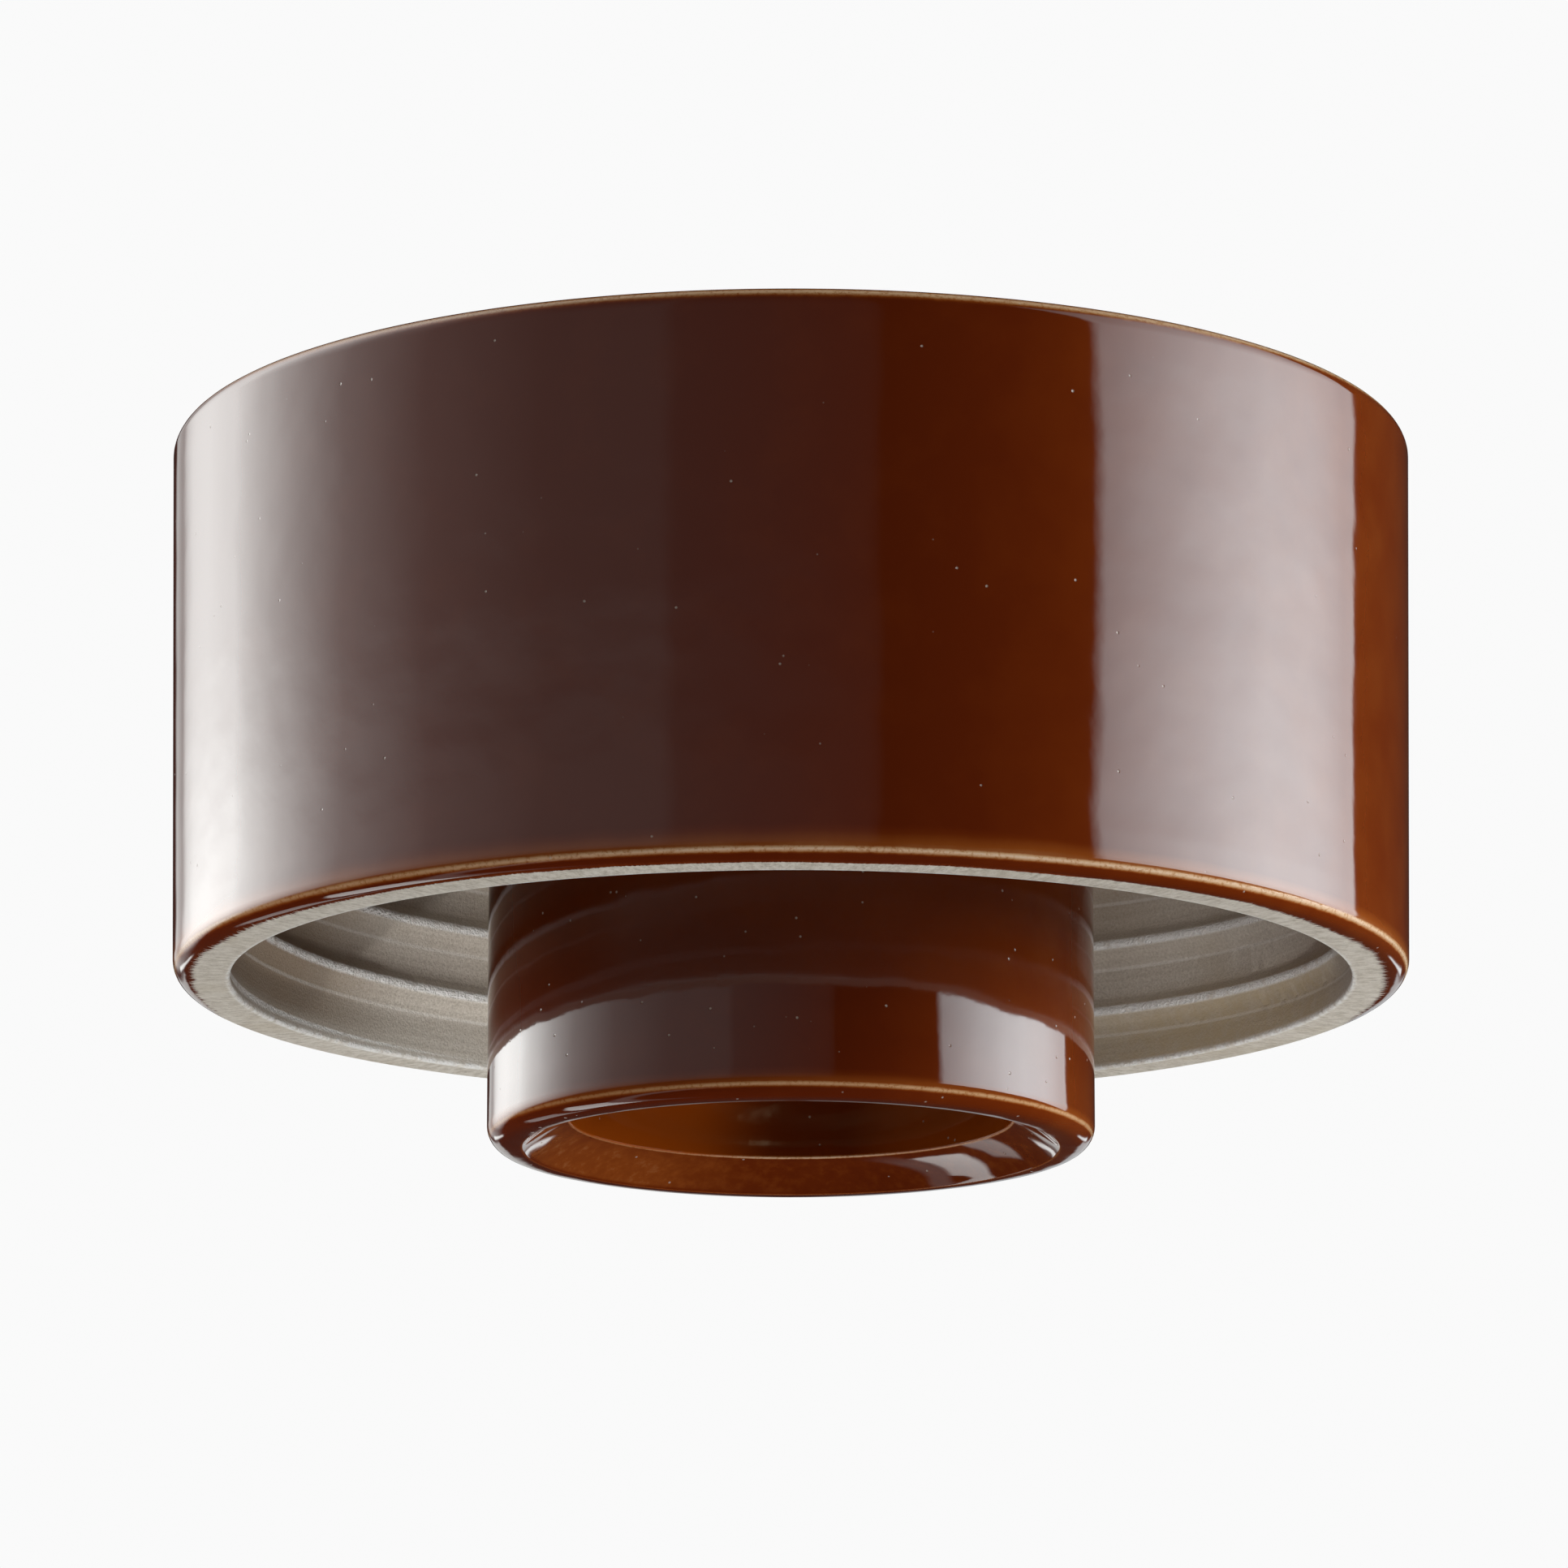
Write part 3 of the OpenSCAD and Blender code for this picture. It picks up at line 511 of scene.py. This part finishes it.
def metal(name, colour, dark, roughness, turned=True, scale=1.0):
    """Metal with faint tool marks, a mottled tone and duller patches."""
    made, t = material(name)
    point, x, y, z = t.place()[:4]
    patches = t.noise(point, 0.45 * scale, 4.0, 0.6)
    # Marks run round a turned piece, and along x on a flat one
    closeness = (0.6, 0.6, 9.0) if turned else (0.8, 8.0, 8.0)
    stretched = [t.math("MULTIPLY", axis, times) for axis, times in zip((x, y, z), closeness)]
    marks = t.noise(t.vector(*stretched), 1.0, 4.0, 0.65)
    grain = t.noise(point, 9.0, 4.0, 0.6)
    tarnish = t.step(patches, 0.42, 0.74)
    tone = t.mix(tarnish, (*colour, 1.0), (*dark, 1.0))
    tone = t.mix(t.step(marks, 0.35, 0.7, 0.0, 0.3), tone, (*dark, 1.0))
    rough = t.math("ADD", t.math("MULTIPLY_ADD", tarnish, 0.22, roughness), t.math("MULTIPLY", marks, 0.1))
    height = t.math("ADD", t.math("MULTIPLY", marks, 0.004), t.math("MULTIPLY", grain, 0.0015))
    # Old metal keeps a little of its oxide, which scatters light as clay does
    t.surface(base_color=tone, metallic=0.72, roughness=rough, height=height)
    return made


def rubber(name, colour, dust, roughness):
    made, t = material(name)
    point = t.place()[0]
    bloom = t.step(t.noise(point, 0.5, 5.0, 0.65), 0.45, 0.75, 0.0, 0.5)
    grain = t.noise(point, 8.0, 4.0, 0.7)
    tone = t.mix(bloom, (*colour, 1.0), (*dust, 1.0))
    height = t.math("ADD", t.math("MULTIPLY", grain, 0.015), t.math("MULTIPLY", bloom, 0.01))
    t.surface(base_color=tone, roughness=t.math("MULTIPLY_ADD", grain, 0.2, roughness), height=height)
    return made


def silicone():
    made, t = material("silicone_rubber")
    point = t.place()[0]
    cloud = t.noise(point, 0.4, 4.0, 0.6)
    grain = t.noise(point, 7.0, 3.0, 0.6)
    tone = t.ramp(cloud, [(0.3, (0.56, 0.54, 0.49)), (0.7, (0.70, 0.68, 0.62))])
    shader = t.surface(base_color=tone, roughness=t.math("MULTIPLY_ADD", grain, 0.2, 0.32),
                       height=t.math("MULTIPLY", grain, 0.008))
    shader.inputs["Subsurface Weight"].default_value = 0.25
    shader.inputs["Subsurface Scale"].default_value = 1.5 * MM
    return made


def pressed_fibre():
    made, t = material("pressed_fibre")
    point, x, y, z = t.place()[:4]
    fibres = t.noise(t.vector(t.math("MULTIPLY", x, 0.9), t.math("MULTIPLY", y, 5.0), z), 1.0, 5.0, 0.7, 1.4)
    cross = t.noise(t.vector(t.math("MULTIPLY", x, 5.0), t.math("MULTIPLY", y, 0.9), z), 1.0, 5.0, 0.7, 1.4)
    cloud = t.noise(point, 0.12, 3.0, 0.6)
    tone = t.ramp(t.blend(0.5, fibres, cross), [(0.3, (0.105, 0.045, 0.018)), (0.5, (0.175, 0.082, 0.034)),
                                                 (0.72, (0.26, 0.135, 0.062))])
    tone = t.mix(t.step(cloud, 0.4, 0.7, 0.0, 0.45), tone, (0.10, 0.042, 0.017, 1.0))
    t.surface(base_color=tone, roughness=t.math("MULTIPLY_ADD", fibres, 0.35, 0.28),
              height=t.math("MULTIPLY", t.math("ADD", fibres, cross), 0.02))
    return made


def nylon():
    made, t = material("nylon_rivet")
    point = t.place()[0]
    cloud = t.noise(point, 0.8, 4.0, 0.6)
    grain = t.noise(point, 10.0, 3.0, 0.6)
    tone = t.ramp(cloud, [(0.3, (0.62, 0.60, 0.53)), (0.7, (0.74, 0.73, 0.67))])
    shader = t.surface(base_color=tone, roughness=t.math("MULTIPLY_ADD", grain, 0.25, 0.3),
                       height=t.math("MULTIPLY", grain, 0.01))
    shader.inputs["Subsurface Weight"].default_value = 0.15
    shader.inputs["Subsurface Scale"].default_value = 1.0 * MM
    return made


MATERIALS = {
    "glazed_porcelain": glazed_porcelain(),
    "black_rubber": rubber("black_rubber", (0.012, 0.012, 0.013), (0.045, 0.043, 0.04), 0.5),
    "silicone_rubber": silicone(),
    "tinned_copper_shell": metal("tinned_copper_shell", (0.70, 0.56, 0.33), (0.42, 0.30, 0.15), 0.2, scale=0.6),
    "brass_fixings": metal("brass_fixings", (0.78, 0.57, 0.25), (0.50, 0.32, 0.11), 0.22),
    "brass_strip": metal("brass_strip", (0.72, 0.50, 0.22), (0.40, 0.24, 0.09), 0.28, False, 0.6),
    "brass_block": metal("brass_block", (0.80, 0.60, 0.28), (0.50, 0.33, 0.12), 0.25, False),
    "contact_bronze": metal("contact_bronze", (0.80, 0.50, 0.28), (0.45, 0.24, 0.11), 0.18),
    "spring_steel": metal("spring_steel", (0.52, 0.52, 0.54), (0.28, 0.27, 0.26), 0.28),
    "zinc_plated_steel": metal("zinc_plated_steel", (0.66, 0.68, 0.70), (0.44, 0.44, 0.42), 0.3),
    "pressed_fibre": pressed_fibre(),
    "nylon_rivet": nylon(),
}

slots = {row["node"]: row["material_slot"] for row in frame["record"]["subparts"]}
for node, obj in frame["nodes"].items():
    give(obj, MATERIALS[slots[node]])

body = fired_body()
give(body, MATERIALS["glazed_porcelain"])
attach(body, "base")
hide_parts("porcelain_base")

spring_low, spring_high = (corner[2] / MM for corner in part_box("contact_spring"))
spring = wound_spring(spring_low, spring_high)
give(spring, MATERIALS["spring_steel"])
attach(spring, "base")
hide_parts("contact_spring")
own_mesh(spring)

# ---- studio ----


def studio():
    """A dark room with a soft panel on the left, a softbox on the right, and a white backdrop for the camera."""
    world = bpy.data.worlds.new("studio")
    bpy.context.scene.world = world
    t = Tree(world)
    x, y, z = t.add("SeparateXYZ", {0: t.add("TexCoord").outputs["Generated"]}).outputs[:3]
    # Round the object: 0 towards the camera, growing to the right; then up from the horizon
    round_it = t.math("MULTIPLY_ADD", t.math("ARCTAN2", x, t.math("MULTIPLY", y, -1.0)), 0.5 / math.pi, 0.5)
    up = t.math("MULTIPLY_ADD", t.math("ARCSINE", z), 1 / math.pi, 0.5)

    def grey(stops):
        return [(place, (v, v, v)) for place, v in stops]

    def turn(degrees):
        return 0.5 + degrees / 360

    def rise(degrees):
        return 0.5 + degrees / 180

    left = t.ramp(round_it, grey([
        (turn(-180), 0.0), (turn(-165.5), 0.0), (turn(-162.5), 0.08), (turn(-155.5), 0.06), (turn(-152), 0.16),
        (turn(-147), 0.255), (turn(-137), 0.4), (turn(-125), 0.53), (turn(-112), 0.43), (turn(-101), 0.3),
        (turn(-90), 0.17), (turn(-70), 0.072), (turn(-46), 0.039), (turn(-24), 0.034), (turn(-21), 0.021),
        (turn(4), 0.012), (turn(15), 0.008), (turn(16.5), 0.0)]))
    left_rise = t.ramp(up, grey([
        (rise(-15), 0.0), (rise(-9), 0.7), (rise(0), 1.1), (rise(9), 1.3), (rise(11.2), 1.34), (rise(12.4), 1.0),
        (rise(30), 0.8), (rise(60), 0.3), (rise(80), 0.0)]))
    right = t.ramp(round_it, grey([
        (turn(57.2), 0.0), (turn(58.2), 0.37), (turn(66), 0.5), (turn(75), 0.66), (turn(88), 0.82),
        (turn(98), 0.82), (turn(111), 0.62), (turn(123), 0.34), (turn(127), 0.3), (turn(128), 0.0)]))
    right_rise = t.ramp(up, grey([
        (rise(-9), 0.0), (rise(-7.5), 0.95), (rise(5), 1.1), (rise(10.5), 1.1), (rise(14), 0.8), (rise(30), 0.5),
        (rise(50), 0.25), (rise(58), 0.0)]))
    # A dim strip low on the left, which draws a thin line in the rounded edges
    low = t.ramp(round_it, grey([(turn(-165), 0.0), (turn(-150), 0.05), (turn(-70), 0.07), (turn(-30), 0.0)]))
    low_rise = t.ramp(up, grey([(rise(-59), 0.0), (rise(-57), 1.0), (rise(-54), 1.0), (rise(-52), 0.0)]))
    light = t.math("ADD", t.math("MULTIPLY", left, left_rise), t.math("MULTIPLY", right, right_rise))
    light = t.math("MULTIPLY_ADD", low, low_rise, light)
    # Small panels behind, which the hollow dish and the rounded edges mirror: where each starts and ends
    # round the object, its strength, and where it starts and ends upwards, all angles in degrees
    for first, last, value, foot, head in ((-156, -128, 0.34, -53, -42), (-165, -151, 0.1, -37, -28),
                                           (163, 166, 0.2, -15, -5), (-166, -163, 0.2, -15, -5),
                                           (-180, -168, 0.08, -9, 4), (167, 179, 0.08, -9, 4)):
        across = t.ramp(round_it, grey([(turn(first), 0.0), (turn(first + 1), value), (turn(last), value),
                                        (turn(last + 1), 0.0)]))
        height = t.ramp(up, grey([(rise(foot), 0.0), (rise(foot + 1), 1.0), (rise(head), 1.0),
                                  (rise(head + 1), 0.0)]))
        light = t.math("MULTIPLY_ADD", across, height, light)
    light = t.math("MULTIPLY_ADD", light, 10.0, 0.02)
    tint = t.mix(t.step(round_it, turn(36), turn(50)), (0.96, 1.0, 0.985, 1.0), (0.86, 0.97, 1.0, 1.0))
    room = t.add("Background", {"Color": tint, "Strength": light})
    backdrop = t.add("Background", {"Color": (1.0, 1.0, 1.0, 1.0), "Strength": 0.955})
    seen = t.add("LightPath").outputs["Is Camera Ray"]
    shown = t.add("MixShader", {0: seen, 1: room.outputs[0], 2: backdrop.outputs[0]})
    output = t.add("OutputWorld")
    t.tree.links.new(shown.outputs[0], output.inputs["Surface"])
    world.cycles.sampling_method = "MANUAL"
    world.cycles.sample_map_resolution = 1024


def hang(name, data, place, target):
    """Puts a light at a place in metres, aimed at a target. Neither the camera nor the glaze sees it."""
    lamp = bpy.data.objects.new(name, data)
    bpy.context.scene.collection.objects.link(lamp)
    lamp.location = place
    lamp.rotation_euler = (Vector(target) - Vector(place)).to_track_quat("-Z", "Y").to_euler()
    lamp.visible_camera = False
    lamp.visible_glossy = False
    return lamp


def fill_light(name, place, size, power):
    """A soft round light aimed at the middle of the body."""
    data = bpy.data.lights.new(name, "AREA")
    data.shape = "DISK"
    data.size = size
    data.energy = power
    hang(name, data, place, (0, 0, -0.03))


def snoot(name, place, target, degrees, wide, power):
    """A narrow light aimed through the mouth, at the wall inside it, and stretched sideways."""
    data = bpy.data.lights.new(name, "SPOT")
    data.energy = power
    data.shadow_soft_size = 0.012
    data.spot_size = math.radians(degrees)
    data.spot_blend = 0.7
    hang(name, data, place, target).scale = (wide, 1.0, 1.0)


def floor():
    """A plain pale floor far below, which only the camera sees."""
    size = 12.0
    low = -1.0 / MM
    reach = size / MM
    plane = mesh_object("floor", [(-reach, -reach, low), (reach, -reach, low), (reach, reach, low),
                                  (-reach, reach, low)], [(0, 1, 2, 3)])
    made = bpy.data.materials.new("floor")
    t = Tree(made)
    glow = t.add("Emission", {"Color": (1.0, 1.0, 1.0, 1.0), "Strength": 0.955})
    t.tree.links.new(glow.outputs[0], t.add("OutputMaterial").inputs["Surface"])
    give(plane, made)
    for ray in ("diffuse", "glossy", "transmission", "volume_scatter", "shadow"):
        setattr(plane, "visible_" + ray, False)


def camera():
    data = bpy.data.cameras.new("camera")
    data.sensor_width = 36.0
    data.lens = 200.24
    data.clip_start = 0.05
    data.clip_end = 50.0
    obj = bpy.data.objects.new("camera", data)
    bpy.context.scene.collection.objects.link(obj)
    obj.location = (-0.00052, -0.6446, -0.16812)
    obj.rotation_euler = (math.radians(90 + 12.43), 0.0, 0.0)
    bpy.context.scene.camera = obj


studio()
fill_light("fill_below", (0.3, -0.1, -0.75), 0.7, 3.6)
fill_light("fill_front", (-0.12, -0.6, -0.52), 0.5, 0.25)
snoot("snoot_left", (-0.28, -0.6, -0.27), (-0.024, 0.034, -0.0385), 2.0, 1.7, 12.0)
snoot("snoot_right", (0.1, -0.62, -0.28), (0.034, 0.026, -0.036), 2.0, 1.5, 9.0)
floor()
camera()
bpy.context.scene.view_settings.view_transform = "Standard"
